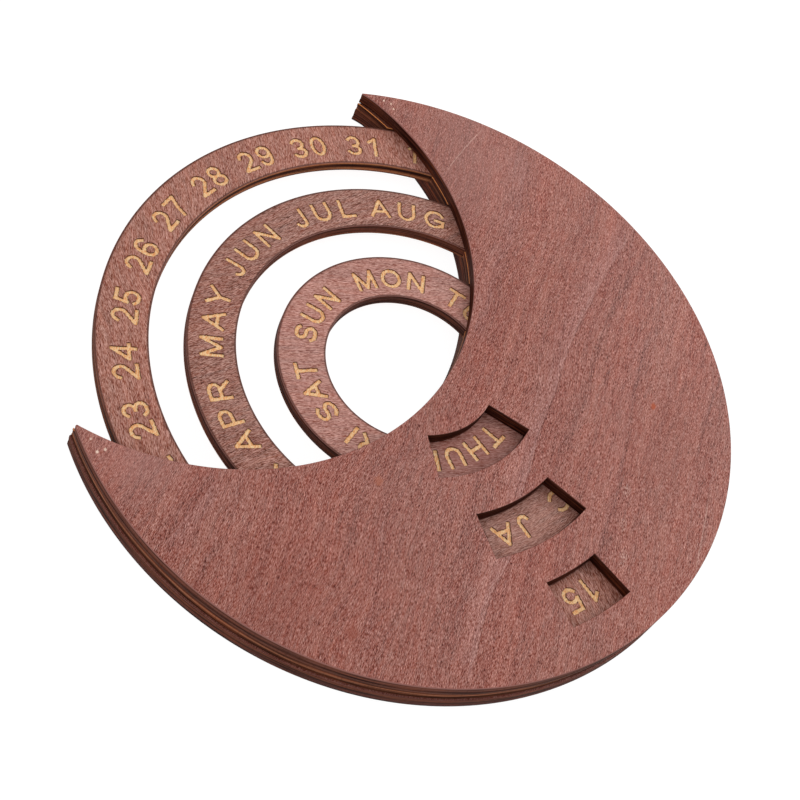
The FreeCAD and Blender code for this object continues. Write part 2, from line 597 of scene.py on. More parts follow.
def ellipse(
    x: float, y: float, across: float, up: float, start: float = 0.0, end: float = 360.0
) -> np.ndarray:
    """Points of an ellipse's arc: centre plus (across cosine, up sine) of the angle.

    Args:
        x: Centre.
        y: Centre.
        across: Half its width.
        up: Half its height.
        start: First angle, in degrees counterclockwise from the right.
        end: Last angle.

    Returns:
        The points.
    """
    turn = np.radians(np.linspace(start, end, max(3, int(abs(end - start) / ELLIPSE_STEP) + 1)))
    return np.column_stack([x + across * np.cos(turn), y + up * np.sin(turn)])


def line(*values: float) -> np.ndarray:
    """Points from a flat list of x and y."""
    return np.array(values, float).reshape(-1, 2)


def chain(*runs: np.ndarray) -> np.ndarray:
    """Several runs one after the other, as one smooth stroke."""
    return np.vstack(runs)


def stem(x: float = LEFT) -> np.ndarray:
    """An upright stroke of full height."""
    return line(x, LOW, x, HIGH)


def bar(end: float, y: float) -> np.ndarray:
    """A level stroke from the left stem."""
    return line(LEFT, y, end, y)


def bowl(x: float, y: float, across: float, up: float) -> np.ndarray:
    """A bowl that leaves the left stem at its top and comes back to it at its foot."""
    return chain(line(LEFT, y + up), ellipse(x, y, across, up, 90, -90), line(LEFT, y - up))


def zigzag(*values: float) -> list[np.ndarray]:
    """A straight stroke from each point of a flat list of x and y to the next one."""
    path = line(*values)
    return [path[k : k + 2] for k in range(len(path) - 1)]


def glyph_strokes() -> dict[str, tuple[float, list[np.ndarray]]]:
    """The plain engraved letterforms, as centre lines of strokes of even width.

    Returns:
        For each character its width and its strokes, with the foot at 0 and the top at CAP_UNITS.
    """
    six = [ellipse(280, 222, 178, 175), chain(ellipse(300, 352, 198, 316, 38, 180), line(102, 222))]
    turned = [np.array([556.0, CAP_UNITS]) - stroke for stroke in six]
    two = chain(ellipse(278, 480, 178, 189, 165, -40), line(88, 55))
    return {
        "0": (556, [ellipse(278, 358, 186, 311)]),
        "1": (556, zigzag(325, LOW, 325, HIGH, 145, 530)),
        "2": (556, [two, line(88, LOW, 480, LOW)]),
        "3": (556, [ellipse(270, 508, 166, 161, 152, -90), ellipse(270, 199, 188, 152, 90, -155)]),
        "4": (556, zigzag(378, LOW, 378, HIGH, 62, 212, 505, 212)),
        "5": (
            556,
            [line(150, HIGH, 462, HIGH), line(150, HIGH, 98, 345), ellipse(268, 232, 186, 185, 140, -152)],
        ),
        "6": (556, six),
        "7": (556, [line(82, HIGH, 478, HIGH), line(478, HIGH, 320, 370, 232, LOW)]),
        "8": (556, [ellipse(278, 516, 156, 153), ellipse(278, 205, 184, 158)]),
        "9": (556, turned),
        "A": (667, [line(58, LOW, 333, 658), line(608, LOW, 333, 658), line(150, 238, 516, 238)]),
        "B": (667, [stem(), bowl(375, 519, 150, 150), bowl(395, 208, 165, 161)]),
        "C": (722, [ellipse(372, 358, 278, 311, 42, 318)]),
        "D": (722, [stem(), bowl(330, 358, 278, 311)]),
        "E": (667, [stem(), bar(585, HIGH), bar(560, 370), bar(595, LOW)]),
        "F": (611, [stem(), bar(545, HIGH), bar(490, 355)]),
        "G": (
            778,
            [ellipse(388, 358, 285, 311, 40, 322), line(668, 330, 668, 140), line(668, 330, 420, 330)],
        ),
        "H": (722, [stem(), stem(597), bar(597, 365)]),
        "I": (278, [stem(139)]),
        "J": (500, [chain(line(378, HIGH), ellipse(226, 205, 152, 158, 0, -165))]),
        "L": (556, [stem(120), line(120, LOW, 505, LOW)]),
        "M": (833, zigzag(128, LOW, 128, HIGH, 416, 70, 705, HIGH, 705, LOW)),
        "N": (722, zigzag(125, LOW, 125, HIGH, 597, LOW, 597, HIGH)),
        "O": (778, [ellipse(389, 358, 292, 311)]),
        "P": (667, [stem(), bowl(405, 490, 165, 179)]),
        "R": (722, [stem(), bowl(435, 500, 165, 169), line(400, 331, 640, LOW)]),
        "S": (667, [chain(ellipse(335, 512, 215, 157, 28, 252), ellipse(335, 205, 232, 158, 72, -160))]),
        "T": (611, [stem(305), line(60, HIGH, 550, HIGH)]),
        "U": (722, [chain(line(128, HIGH), ellipse(361, 275, 233, 228, 180, 360), line(594, HIGH))]),
        "V": (667, [line(55, HIGH, 333, 60), line(612, HIGH, 333, 60)]),
        "W": (944, zigzag(50, HIGH, 250, 60, 472, 655, 695, 60, 895, HIGH)),
        "Y": (667, [line(55, HIGH, 333, 330), line(612, HIGH, 333, 330), line(333, 330, 333, LOW)]),
    }


def walk(path: np.ndarray, step: float) -> np.ndarray:
    """Points at even steps along a line, both ends among them.

    Args:
        path: The line's points.
        step: The length of a step, at most.

    Returns:
        The new points.
    """
    length = np.concatenate([[0.0], np.cumsum(np.linalg.norm(np.diff(path, axis=0), axis=1))])
    place = np.linspace(0.0, length[-1], int(math.ceil(length[-1] / step)) + 1)
    return np.column_stack([np.interp(place, length, path[:, k]) for k in range(2)])


def ragged(points: np.ndarray, swing: float) -> np.ndarray:
    """How far a burnt border wanders: swing times half of sin(7.3 x + 4.1 y) + sin(3.7 x - 8.9 y + 1).

    Args:
        points: The places, in mm.
        swing: How far it wanders at most.

    Returns:
        One column with a length for each place.
    """
    x, y = points.T
    return swing * (np.sin(7.3 * x + 4.1 * y) + np.sin(3.7 * x - 8.9 * y + 1.0))[:, None] / 2


def ribbon(path: np.ndarray, half: float, swing: float) -> list[np.ndarray]:
    """The outline of a stroke, with square ends that are a little rounded.

    An open stroke is its centre line plus and minus half its width along the line's normal, closed
    at each end by half a superellipse. A closed one is two such loops. Along its sides half the
    width wanders as ragged says.

    Args:
        path: The centre line's points.
        half: Half the stroke's width.
        swing: How far its sides wander at most.

    Returns:
        One loop, or the outer and the inner loop of a closed stroke.
    """
    if len(path) > 3 and np.allclose(path[0], path[-1]):
        ring = path[:-1]
        along = np.roll(ring, -1, axis=0) - np.roll(ring, 1, axis=0)
        normal = np.column_stack([along[:, 1], -along[:, 0]]) / np.linalg.norm(along, axis=1)[:, None]
        wide = [side * (half + ragged(ring + side * half * normal, swing)) for side in (1.0, -1.0)]
        return [ring + wide[0] * normal, (ring + wide[1] * normal)[::-1]]
    along = np.gradient(path, axis=0)
    along /= np.linalg.norm(along, axis=1)[:, None]
    normal = np.column_stack([along[:, 1], -along[:, 0]])
    turn = np.radians(np.linspace(0.0, 180.0, CAP_POINTS))
    power = 2.0 / CAP_POWER
    across = np.sign(np.cos(turn)) * np.abs(np.cos(turn)) ** power
    ahead = np.abs(np.sin(turn)) ** power
    caps = [
        path[k] + half * (across[:, None] * normal[k] * sign + ahead[:, None] * along[k] * sign)
        for k, sign in ((-1, 1.0), (0, -1.0))
    ]
    wide = [side * (half + ragged(path + side * half * normal, swing)) for side in (1.0, -1.0)]
    sides = [(path + offset * normal)[2:-2] for offset in wide]
    return [np.vstack([sides[0], caps[0], sides[1][::-1], caps[1]])]


def distance(points: np.ndarray, path: np.ndarray) -> np.ndarray:
    """Each point's distance from a line: to the nearest place on each segment, and the least of these.

    Args:
        points: The points.
        path: The line's points.

    Returns:
        One distance for each point.
    """
    tail, span = path[:-1], np.diff(path, axis=0)
    away = points[:, None, :] - tail[None]
    share = np.clip((away * span).sum(-1) / np.maximum((span**2).sum(-1), 1e-12), 0.0, 1.0)
    return np.linalg.norm(away - share[..., None] * span, axis=-1).min(axis=1)


@dataclass(frozen=True)
class Lettering:
    """Labels that run clockwise round a ring with their tops outwards.

    Attributes:
        labels: The words, in order.
        foot: Radius of the letters' feet, in mm.
        height: Height of the letters.
        stroke: Width of a stroke.
        tracking: Extra angle between two letters of a word, in degrees.
        word_angles: Angles of the first words' middles. Later words turn with the last of them.
        stretch: How much wider the letters are than in the plain design.
        halo: Width of the smoke stain round a letter, in mm.
        depth: How deep the letters are engraved, in mm.
        swing: How far a stroke's sides wander, in mm.
    """

    labels: tuple[str, ...]
    foot: float
    height: float
    stroke: float
    tracking: float
    word_angles: tuple[float, ...]
    stretch: float = 1.0
    halo: float = 0.25
    depth: float = 0.2
    swing: float = 0.12

    def angles(self, widths: np.ndarray, word: np.ndarray) -> np.ndarray:
        """The angle of each letter's middle.

        Two neighbours are half of each one's width apart, plus the tracking within a word or the
        gap between words. The gap is what closes the circle. Then each word turns as a whole by
        what its own middle lacks.

        Args:
            widths: The letters' widths, in degrees.
            word: For each letter, the index of its word.

        Returns:
            One angle for each letter, in degrees.
        """
        is_last = np.roll(word, -1) != word
        gap = (360.0 - widths.sum() - self.tracking * (~is_last).sum()) / is_last.sum()
        step = (widths + np.roll(widths, -1)) / 2 + np.where(is_last, gap, self.tracking)
        place = np.concatenate([[0.0], np.cumsum(step)[:-1]])
        first = np.flatnonzero(np.roll(is_last, 1))
        middle = (place[first] + place[np.flatnonzero(is_last)]) / 2
        lack = np.array(self.word_angles) - middle[: len(self.word_angles)]
        return place + lack[np.minimum(word, len(lack) - 1)]

    def strokes(self) -> list[np.ndarray]:
        """Draw the words round the ring.

        Returns:
            The centre lines of every stroke, in mm.
        """
        font = glyph_strokes()
        scale = self.height / CAP_UNITS
        letters = "".join(self.labels)
        word = np.repeat(np.arange(len(self.labels)), [len(w) for w in self.labels])
        widths = np.array([font[c][0] for c in letters]) * scale * self.stretch
        middle = self.foot + self.height / 2
        turns = np.radians(self.angles(np.degrees(widths / middle), word))
        placed = []
        for letter, turn in zip(letters, turns):
            width, paths = font[letter]
            outward = np.array([math.sin(turn), math.cos(turn)])
            onward = np.array([math.cos(turn), -math.sin(turn)])
            for path in paths:
                x, y = (path[:, 0] - width / 2) * scale * self.stretch, path[:, 1] * scale
                placed.append(walk(x[:, None] * onward + (self.foot + y)[:, None] * outward, STROKE_STEP))
        return placed

    def engrave(self, border: list[np.ndarray], top: float, shell: Shell) -> None:
        """Add a ring's face with the letters sunk into it.

        The face is triangulated with the strokes' outlines and centre lines as edges. Triangles
        inside an outline go down by depth, and a wall follows every edge between a sunk triangle
        and one that stays.

        Args:
            border: The face's own outlines.
            top: Height of the face, in mm.
            shell: The shell that the surfaces go into.
        """
        half = self.stroke / 2
        strokes = self.strokes()
        outlines = [ribbon(path, half, self.swing) for path in strokes]
        halos = [ribbon(path, half + self.halo, self.swing) for path in strokes]
        closed = border + [loop for group in outlines + halos for loop in group]
        counts = np.cumsum([0] + [len(loop) for loop in closed])
        segments = [ring_of(len(loop), first) for loop, first in zip(closed, counts)]
        first = counts[-1]
        for path in strokes:
            index = np.arange(first, first + len(path) - 1)
            segments.append(np.column_stack([index, index + 1]))
            first += len(path)
        flat, tris = triangulate(np.vstack(closed + strokes), np.vstack(segments))
        centres = flat[tris].mean(axis=1)
        tris = tris[sum(winding(centres, loop) for loop in border) > 0]
        centres = flat[tris].mean(axis=1)
        sunk = np.zeros(len(tris), bool)
        away = np.full(len(flat), FAR)
        for path, loops in zip(strokes, outlines):
            low, high = path.min(axis=0) - NEARBY * half, path.max(axis=0) + NEARBY * half
            near = np.flatnonzero(((centres > low) & (centres < high)).all(axis=1))
            turns = sum(winding(centres[near], loop) for loop in loops)
            sunk[near[turns != 0]] = True
            close = np.flatnonzero(((flat > low) & (flat < high)).all(axis=1))
            away[close] = np.minimum(away[close], distance(flat[close], path))
        stain = np.where(away <= half, away / half, np.maximum(0.0, 1 - (away - half) / self.halo))
        upper = np.column_stack([flat, np.full(len(flat), top)])
        lower = upper - [0.0, 0.0, self.depth]
        shell.add(upper, tris[~sunk], Surface.FACE, stain)
        shell.add(lower, tris[sunk], Surface.ENGRAVED, stain)
        floor = tris[sunk]
        edges = np.vstack([floor[:, [0, 1]], floor[:, [1, 2]], floor[:, [2, 0]]])
        size = len(flat)
        rim = edges[~np.isin(edges[:, 0] * size + edges[:, 1], edges[:, 1] * size + edges[:, 0])]
        a, b = rim.T
        walls = np.vstack([np.column_stack([a, b, b + size]), np.column_stack([a, b + size, a + size])])
        shell.add(np.vstack([upper, lower]), walls, Surface.RECESS, np.ones(2 * size))


@dataclass(frozen=True)
class PlyEdge:
    """The section of a cut edge of three-ply sheet.

    Attributes:
        arris: Radius of the rounded arrises, in mm.
        veneer: Share of the thickness that each outer veneer has.
        burn_back: How far the core is burnt back behind the veneers.
    """

    arris: float = 0.07
    veneer: float = 0.3
    burn_back: float = 0.04

    def rows(self, top: float, bottom: float) -> np.ndarray:
        """The section as pairs of inset and height, from the front face to the back face.

        Each arris is a quarter circle: inset is radius times (1 - sine), and the drop is radius
        times (1 - cosine). Between them the core steps back by burn_back.

        Args:
            top: Height of the front face, in mm.
            bottom: Height of the back face.

        Returns:
            The pairs, one row each.
        """
        turn = np.radians([0.0, 30.0, 60.0, 90.0])
        inset, drop = self.arris * (1 - np.sin(turn)), self.arris * (1 - np.cos(turn))
        skin = self.veneer * (top - bottom)
        step = self.burn_back
        core = np.array([
            [0.0, top - skin],
            [step, top - skin - step],
            [step, bottom + skin + step],
            [0.0, bottom + skin],
        ])
        head = np.column_stack([inset, top - drop])
        foot = np.column_stack([inset, bottom + drop])[::-1]
        return np.vstack([head, core, foot])


@dataclass
class Sheet:
    """One piece cut from plywood sheet.

    Attributes:
        name: Name of the piece.
        node: The CAD node that it stands for.
        body: The body that it rides on.
        slot: The record's material slot. It is not used.
        outlines: Its cut lines.
        bottom: Height of its back face, in mm.
        top: Height of its front face.
        finishes: The finish of each kind of surface.
        section: The section of its cut edge.
        lettering: What is engraved in its front face, if anything.
    """

    name: str
    node: str
    body: Body
    slot: Slot
    outlines: list[Outline]
    bottom: float
    top: float
    finishes: list[Finish]
    section: PlyEdge = PlyEdge()
    lettering: Lettering | None = None

    def shape(self, bench: Bench) -> bpy.types.Object:
        """Build the closed mesh: a band along each cut line and a face on each side.

        Args:
            bench: Where the drawing lies.

        Returns:
            The object, without materials.
        """
        shell = Shell()
        rows = self.section.rows(self.top, self.bottom)
        for outline in self.outlines:
            band = np.stack(
                [np.column_stack([p := outline.points(inset), np.full(len(p), z)]) for inset, z in rows]
            )
            shell.add_band(band, Surface.EDGE, outline.scorch())
        border = [outline.points(self.section.arris) for outline in self.outlines]
        counts = np.cumsum([0] + [len(loop) for loop in border])
        segments = np.vstack([ring_of(len(loop), first) for loop, first in zip(border, counts)])
        flat, tris = triangulate(np.vstack(border), segments)
        tris = tris[sum(winding(flat[tris].mean(axis=1), loop) for loop in border) > 0]
        lower, upper = (np.column_stack([flat, np.full(len(flat), z)]) for z in (self.bottom, self.top))
        plain = np.zeros(len(flat))
        shell.add(lower, tris[:, ::-1], Surface.FACE, plain)
        if self.lettering is None:
            shell.add(upper, tris, Surface.FACE, plain)
        else:
            self.lettering.engrave(border, self.top, shell)
        return shell.build(self.name, bench)

    def build(self, bench: Bench) -> bpy.types.Object:
        """Build and dress the piece, hang it on its body and hide the CAD node that it stands for.

        Args:
            bench: Where the drawing lies.

        Returns:
            The finished piece.
        """
        piece = self.shape(bench)
        for finish in self.finishes:
            piece.data.materials.append(finish.material(bench))
        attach(piece, self.body.value)
        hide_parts(self.node)
        low, high = (np.array(corner) / MM for corner in (piece.bound_box[0], piece.bound_box[6]))
        size = np.round(high - low, 2).tolist()
        log.info("%s: %d triangles, %s mm", piece.name, len(piece.data.polygons), size)
        return piece


class Graph:
    """Short calls for the nodes that the finishes are made of.

    Attributes:
        material: The material.
        tree: Its node tree.
        shader: Its principled shader.
        coords: The piece's own coordinates.
    """

    def __init__(self, name: str) -> None:
        """Make a material with a principled shader.

        Args:
            name: The material's name.
        """
        self.material = bpy.data.materials.new(name)
        self.material.use_nodes = True
        self.tree = self.material.node_tree
        self.shader = self.tree.nodes["Principled BSDF"]
        self.coords = self.node("ShaderNodeTexCoord").outputs["Object"]

    def put(self, socket: bpy.types.NodeSocket, value: object) -> None:
        """Link a socket to another one, or set its own value.

        Args:
            socket: The socket.
            value: Another socket, a number, a vector or a colour.
        """
        if isinstance(value, bpy.types.NodeSocket):
            self.tree.links.new(value, socket)
        elif socket.type == "RGBA":
            socket.default_value = (*value, 1.0)
        else:
            socket.default_value = value

    def node(self, kind: str, *values: object, **settings: object) -> bpy.types.Node:
        """Add a node.

        Args:
            kind: Its type.
            values: What its first inputs get.
            settings: Its properties.

        Returns:
            The node.
        """
        made = self.tree.nodes.new(kind)
        for key, value in settings.items():
            setattr(made, key, value)
        for socket, value in zip(made.inputs, values):
            self.put(socket, value)
        return made

    def fill(self, node: bpy.types.Node, values: dict[str, object]) -> None:
        """Give a node's inputs, by their names, the values that are theirs."""
        for name, value in values.items():
            self.put(node.inputs[name], value)

    def math(self, operation: str, *values: object) -> bpy.types.NodeSocket:
        """Work out a number."""
        return self.node("ShaderNodeMath", *values, operation=operation).outputs[0]

    def vector(self, operation: str, *values: object) -> bpy.types.NodeSocket:
        """Work out a vector, or its length."""
        made = self.node("ShaderNodeVectorMath", *values, operation=operation)
        return made.outputs["Value" if operation == "LENGTH" else "Vector"]

    def sway(self, noise: object, strength: object) -> bpy.types.NodeSocket:
        """How far a noise is from its middle, times a strength."""
        return self.math("MULTIPLY", self.math("SUBTRACT", noise, 0.5), strength)

    def space(self, vector: object, origin: Triple, turn: float, size: Triple) -> bpy.types.NodeSocket:
        """Coordinates from an origin, along axes turned about Z, in units of size.

        Args:
            vector: The vector to change.
            origin: The origin, in metres.
            turn: Turn about Z, in degrees counterclockwise.
            size: The unit along each axis, in mm.

        Returns:
            The new vector.
        """
        about = (0.0, 0.0, math.radians(turn))
        unit = tuple(side * MM for side in size)
        return self.node("ShaderNodeMapping", vector, origin, about, unit, vector_type="TEXTURE").outputs[0]

    def noise(
        self,
        vector: object,
        scale: float = 1.0,
        detail: float = 2.0,
        roughness: float = 0.5,
        colour: bool = False,
    ) -> bpy.types.NodeSocket:
        """Soft noise.

        Args:
            vector: Where it is read.
            scale: How many grains there are to a unit.
            detail: How many finer grains lie over the first.
            roughness: How strong these are.
            colour: Whether three numbers are wanted.

        Returns:
            The noise, as a number or as three.
        """
        made = self.node("ShaderNodeTexNoise")
        self.fill(made, {"Vector": vector, "Scale": scale, "Detail": detail, "Roughness": roughness})
        return made.outputs["Color" if colour else "Fac"]

    def grain(self, *size: float, turn: float = 0.0, **options: float) -> bpy.types.NodeSocket:
        """Noise over the piece, with its grain's size in mm and its turn in degrees."""
        return self.noise(self.space(self.coords, (0.0, 0.0, 0.0), turn, size), **options)

    def spread(
        self,
        value: object,
        low: float,
        high: float,
        to_low: float = 0.0,
        to_high: float = 1.0,
        smooth: bool = True,
    ) -> bpy.types.NodeSocket:
        """Map a range of numbers onto another, and clamp it.

        Args:
            value: The number.
            low: Start of its range.
            high: End of its range.
            to_low: What the start becomes.
            to_high: What the end becomes.
            smooth: Whether the change eases in and out.

        Returns:
            The new number.
        """
        kind = "SMOOTHSTEP" if smooth else "LINEAR"
        made = self.node("ShaderNodeMapRange", value, low, high, to_low, to_high, interpolation_type=kind)
        return made.outputs[0]

    def mix(self, share: object, first: object, second: object) -> bpy.types.NodeSocket:
        """Mix two colours. The node's colour inputs are its seventh and eighth.

        Args:
            share: How much of the second is in it.
            first: The first colour.
            second: The second colour.

        Returns:
            The mixed colour.
        """
        made = self.node("ShaderNodeMix", data_type="RGBA")
        for index, value in ((0, share), (6, first), (7, second)):
            self.put(made.inputs[index], value)
        return made.outputs[2]

    def ramp(self, value: object, stops: list[tuple[float, Colour]]) -> bpy.types.NodeSocket:
        """A colour from a row of colour stops.

        Args:
            value: The place on the ramp.
            stops: Places and colours.

        Returns:
            The colour.
        """
        made = self.node("ShaderNodeValToRGB", value)
        row = made.color_ramp.elements
        while len(row) < len(stops):
            row.new(1.0)
        for element, (place, colour) in zip(row, stops):
            element.position = place
            element.color = (*colour, 1.0)
        return made.outputs[0]

    def curve(self, value: object, stops: list[Point]) -> bpy.types.NodeSocket:
        """A number from a smooth curve.

        Args:
            value: The place along it.
            stops: Points that it goes through, all between 0 and 1.

        Returns:
            The curve's height there.
        """
        made = self.node("ShaderNodeFloatCurve")
        self.put(made.inputs["Value"], value)
        points = made.mapping.curves[0].points
        while len(points) < len(stops):
            points.new(0.5, 0.5)
        for point, (x, y) in zip(points, stops):
            point.location = (x, y)
        made.mapping.update()
        return made.outputs[0]

    def scorch(self) -> bpy.types.NodeSocket:
        """The mesh's own measure of how burnt a place is."""
        return self.node("ShaderNodeAttribute", attribute_name="scorch").outputs["Fac"]

    def bump(self, height: object, strength: float, drop: float) -> None:
        """Drive the shader's normal by a height.

        Args:
            height: The height.
            strength: How much of it shows.
            drop: How far 1 stands above 0, in mm.
        """
        made = self.node("ShaderNodeBump")
        self.fill(made, {"Strength": strength, "Distance": drop * MM, "Height": height})
        self.put(self.shader.inputs["Normal"], made.outputs[0])

    def dress(self, colour: object, roughness: object, specular: float) -> bpy.types.Material:
        """Give the shader its main values.

        Args:
            colour: The base colour.
            roughness: The roughness.
            specular: The specular level.

        Returns:
            The material.
        """
        values = {"Base Color": colour, "Roughness": roughness, "Specular IOR Level": specular}
        self.fill(self.shader, values)
        return self.material


class Finish:
    """A way to finish a surface."""

    def material(self, bench: Bench) -> bpy.types.Material:
        """Make the material.

        Args:
            bench: Where the drawing lies.

        Returns:
            The material.
        """
        raise NotImplementedError


@dataclass(frozen=True)
class Mark:
    """A small mark in the veneer; the same kind of patch also paints light and shade.

    Attributes:
        kind: What it is.
        place: Where it is, in mm from the axis.
        size: Half its length along the grain and half its width.
        colour: Its colour.
        strength: How much of its colour covers the wood.
    """

    kind: MarkKind
    place: Point
    size: Point
    colour: Colour
    strength: float


@dataclass(frozen=True)
class FigureLine:
    """A line of the wood's figure, such as the border of a growth ring.

    Attributes:
        path: Points that it goes through, in mm from the axis, in order of x.
        bands: Colour, width in mm and strength of the bands beside it. A negative width is on the
            line's lower side in y.
        ripple: How far the line wanders, in mm.
        sharp: Half the width of its crisp side, in mm.
    """

    path: tuple[Point, ...]
    bands: tuple[tuple[Colour, float, float], ...]
    ripple: float = 1.2
    sharp: float = 0.15


# Shares of red, green and blue in which fine, coarse and redder patterns change the stain
PALER: Colour = (1.0, 0.69, 0.635)
WARMER: Colour = (1.0, 0.5, 0.38)
REDDER: Colour = (0.1, -0.043, -0.055)

# The least of each colour that the stain has, the colour of wood that laser fumes darkened, which also paints
# shade beside walls and gaps, and that of sooty wood
DARKEST: Colour = (0.04, 0.012, 0.008)
SMOKE_AND_SHADE = srgb(78, 36, 22)
SOOT = srgb(34, 15, 12)

# Side in mm of the square about the axis that a figure line's curve covers, and over what length it fades
FIGURE_SPAN = 160.0
FIGURE_FADE = 5.0

# Width in mm of the border of a face that laser fumes and painted shade darken
SMOKE_AND_SHADE_FADE = 0.35

# Units in mm for the axis that a pattern hardly changes along, and for one that counts for nothing
METRE = 1e3
ENDLESS = 1e6


@dataclass(frozen=True)
class Veneer(Finish):
    """Stained face veneer with short flecks along the grain, soft bands, a few marks, and on some pieces
    painted light and shade.

    Attributes:
        name: The material's name.
        grain: Direction of the grain, in degrees counterclockwise from +X.
        offset: Where the pattern starts, in mm, so that no two pieces share it.
        tone: The stain's middle colour.
        lines: Lines of its figure.
        marks: Small marks, and patches of painted light and shade.
        smoked: Radii in mm inside and outside which the face is darkened: laser fumes stain it there,
            and painted shade stands for the walls and gaps beside those edges.
        darkening: How strong that darkening is.
    """

    name: str
    grain: float
    offset: Point
    tone: Colour = srgb(158, 96, 83)
    lines: tuple[FigureLine, ...] = ()
    marks: tuple[Mark, ...] = ()
    smoked: Point | None = None
    smoke: float = 0.85

    def material(self, bench: Bench) -> bpy.types.Material:
        """Make the material.

        Each pattern adds its distance from 0.5, times a strength, to the tone. Paler or darker wood
        changes red, green and blue in the shares of PALER where it is fine and of WARMER where it is
        coarse, and redder wood in those of REDDER.

        Args:
            bench: Where the drawing lies.

        Returns:
            The material.
        """
        graph = Graph(self.name)
        origin = bench.spot(*self.offset)

        def pattern(along: float, across: float, vector: object, **options: float) -> bpy.types.NodeSocket:
            """Noise stretched along the grain, with its grain size in mm."""
            return graph.noise(graph.space(vector, origin, self.grain, (along, across, across)), **options)

        def lay(colour: object, noise: object, strength: float, shares: Colour) -> bpy.types.NodeSocket:
            """Add a pattern to a colour."""
            return graph.vector("MULTIPLY_ADD", graph.sway(noise, strength), shares, colour)

        wide = graph.space(graph.coords, origin, 0.0, (30.0, 30.0, 30.0))
        drift = graph.vector("SUBTRACT", graph.noise(wide, detail=1.0, colour=True), (0.5, 0.5, 0.5))
        bent = graph.vector("ADD", graph.coords, graph.vector("MULTIPLY", drift, (0.004, 0.006, 0.0)))
        fleck = pattern(0.7, 0.1, bent, roughness=0.6)
        needle = pattern(2.2, 0.13, bent, roughness=0.6)
        fibre = pattern(9.0, 0.2, bent, detail=3.0, roughness=0.6)
        streak = pattern(30.0, 1.2, bent)
        band = pattern(85.0, 4.0, bent, roughness=0.6)
        hue = pattern(60.0, 9.0, graph.vector("ADD", bent, (0.05, 0.02, 0.0)))
        patch = pattern(4.0, 1.0, graph.vector("ADD", bent, (0.02, 0.05, 0.0)))

        colour = self.tone
        for noise, strength, shares in ((hue, 0.6, REDDER), (patch, 0.7, REDDER), (band, 0.16, WARMER)):
            colour = lay(colour, noise, strength, shares)
        for figure in self.lines:
            colour = self._figure(graph, bench, figure, colour)
        for noise, strength, shares in (
            (streak, 0.16, WARMER),
            (fibre, 0.32, WARMER),
            (fleck, 1.55, PALER),
            (needle, 0.8, PALER),
        ):
            colour = lay(colour, noise, strength, shares)
        colour = graph.vector("MAXIMUM", colour, DARKEST)
        for mark in self.marks:
            colour = self._mark(graph, bench, mark, colour, fleck)
        ragged = graph.sway(fleck, 0.9)
        burnt = graph.spread(graph.math("ADD", graph.scorch(), ragged), 0.35, 1.0, 0.0, 0.8)
        # Near the given radii the face darkens towards the fume colour: laser fumes there, and painted shade
        # for the walls and gaps beside those edges
        if self.smoked:
            local = graph.space(graph.coords, bench.spot(), 0.0, (1.0, 1.0, ENDLESS))
            reach = graph.math("ADD", graph.vector("LENGTH", local), graph.math("MULTIPLY", ragged, 0.4))
            for radius, side in zip(self.smoked, (SMOKE_AND_SHADE_FADE, -SMOKE_AND_SHADE_FADE)):
                smoke = graph.spread(reach, radius + side, radius, 0.0, self.smoke)
                burnt = graph.math("MAXIMUM", burnt, smoke)
        graph.bump(graph.math("ADD", graph.math("MULTIPLY", fibre, 0.5), fleck), 0.2, 0.06)
        roughness = graph.spread(fleck, 0.3, 0.7, 0.62, 0.5, smooth=False)
        return graph.dress(graph.mix(burnt, colour, SMOKE_AND_SHADE), roughness, 0.28)

    def _figure(self, graph: Graph, bench: Bench, figure: FigureLine, colour: object) -> bpy.types.NodeSocket:
        """Lay a figure line's bands over a colour.

        The line is y as a curve of x, and the distance is y less the curve. A band is strongest at
        the line and fades away from it, and all of them fade at the line's two ends.

        Args:
            graph: The material's graph.
            bench: Where the drawing lies.
            figure: The line.
            colour: The colour so far.

        Returns:
            The new colour.
        """
        corner = bench.spot(-FIGURE_SPAN / 2, -FIGURE_SPAN / 2)
        local = graph.space(graph.coords, corner, 0.0, (FIGURE_SPAN, FIGURE_SPAN, METRE))
        x, y, _ = graph.node("ShaderNodeSeparateXYZ", local).outputs
        unit = 1.0 / FIGURE_SPAN
        stops = [(px * unit + 0.5, py * unit + 0.5) for px, py in figure.path]
        away = graph.math("SUBTRACT", y, graph.curve(x, stops))
        away = graph.math("ADD", away, graph.sway(graph.grain(12.0, 12.0, 12.0), figure.ripple * unit))
        first, last, fade = stops[0][0], stops[-1][0], FIGURE_FADE * unit
        ends = graph.math(
            "MULTIPLY",
            graph.spread(x, first - unit, first + fade),
            graph.spread(x, last + unit, last - fade),
        )
        sharp = figure.sharp * unit
        for tint, width, strength in figure.bands:
            out = graph.math("MULTIPLY", away, math.copysign(1.0, width))
            soft, crisp = graph.spread(out, abs(width) * unit, 0.0), graph.spread(out, -sharp, sharp)
            share = graph.math("MULTIPLY", graph.math("MULTIPLY", soft, crisp), ends)
            colour = graph.mix(graph.math("MULTIPLY", share, strength), colour, tint)
        return colour

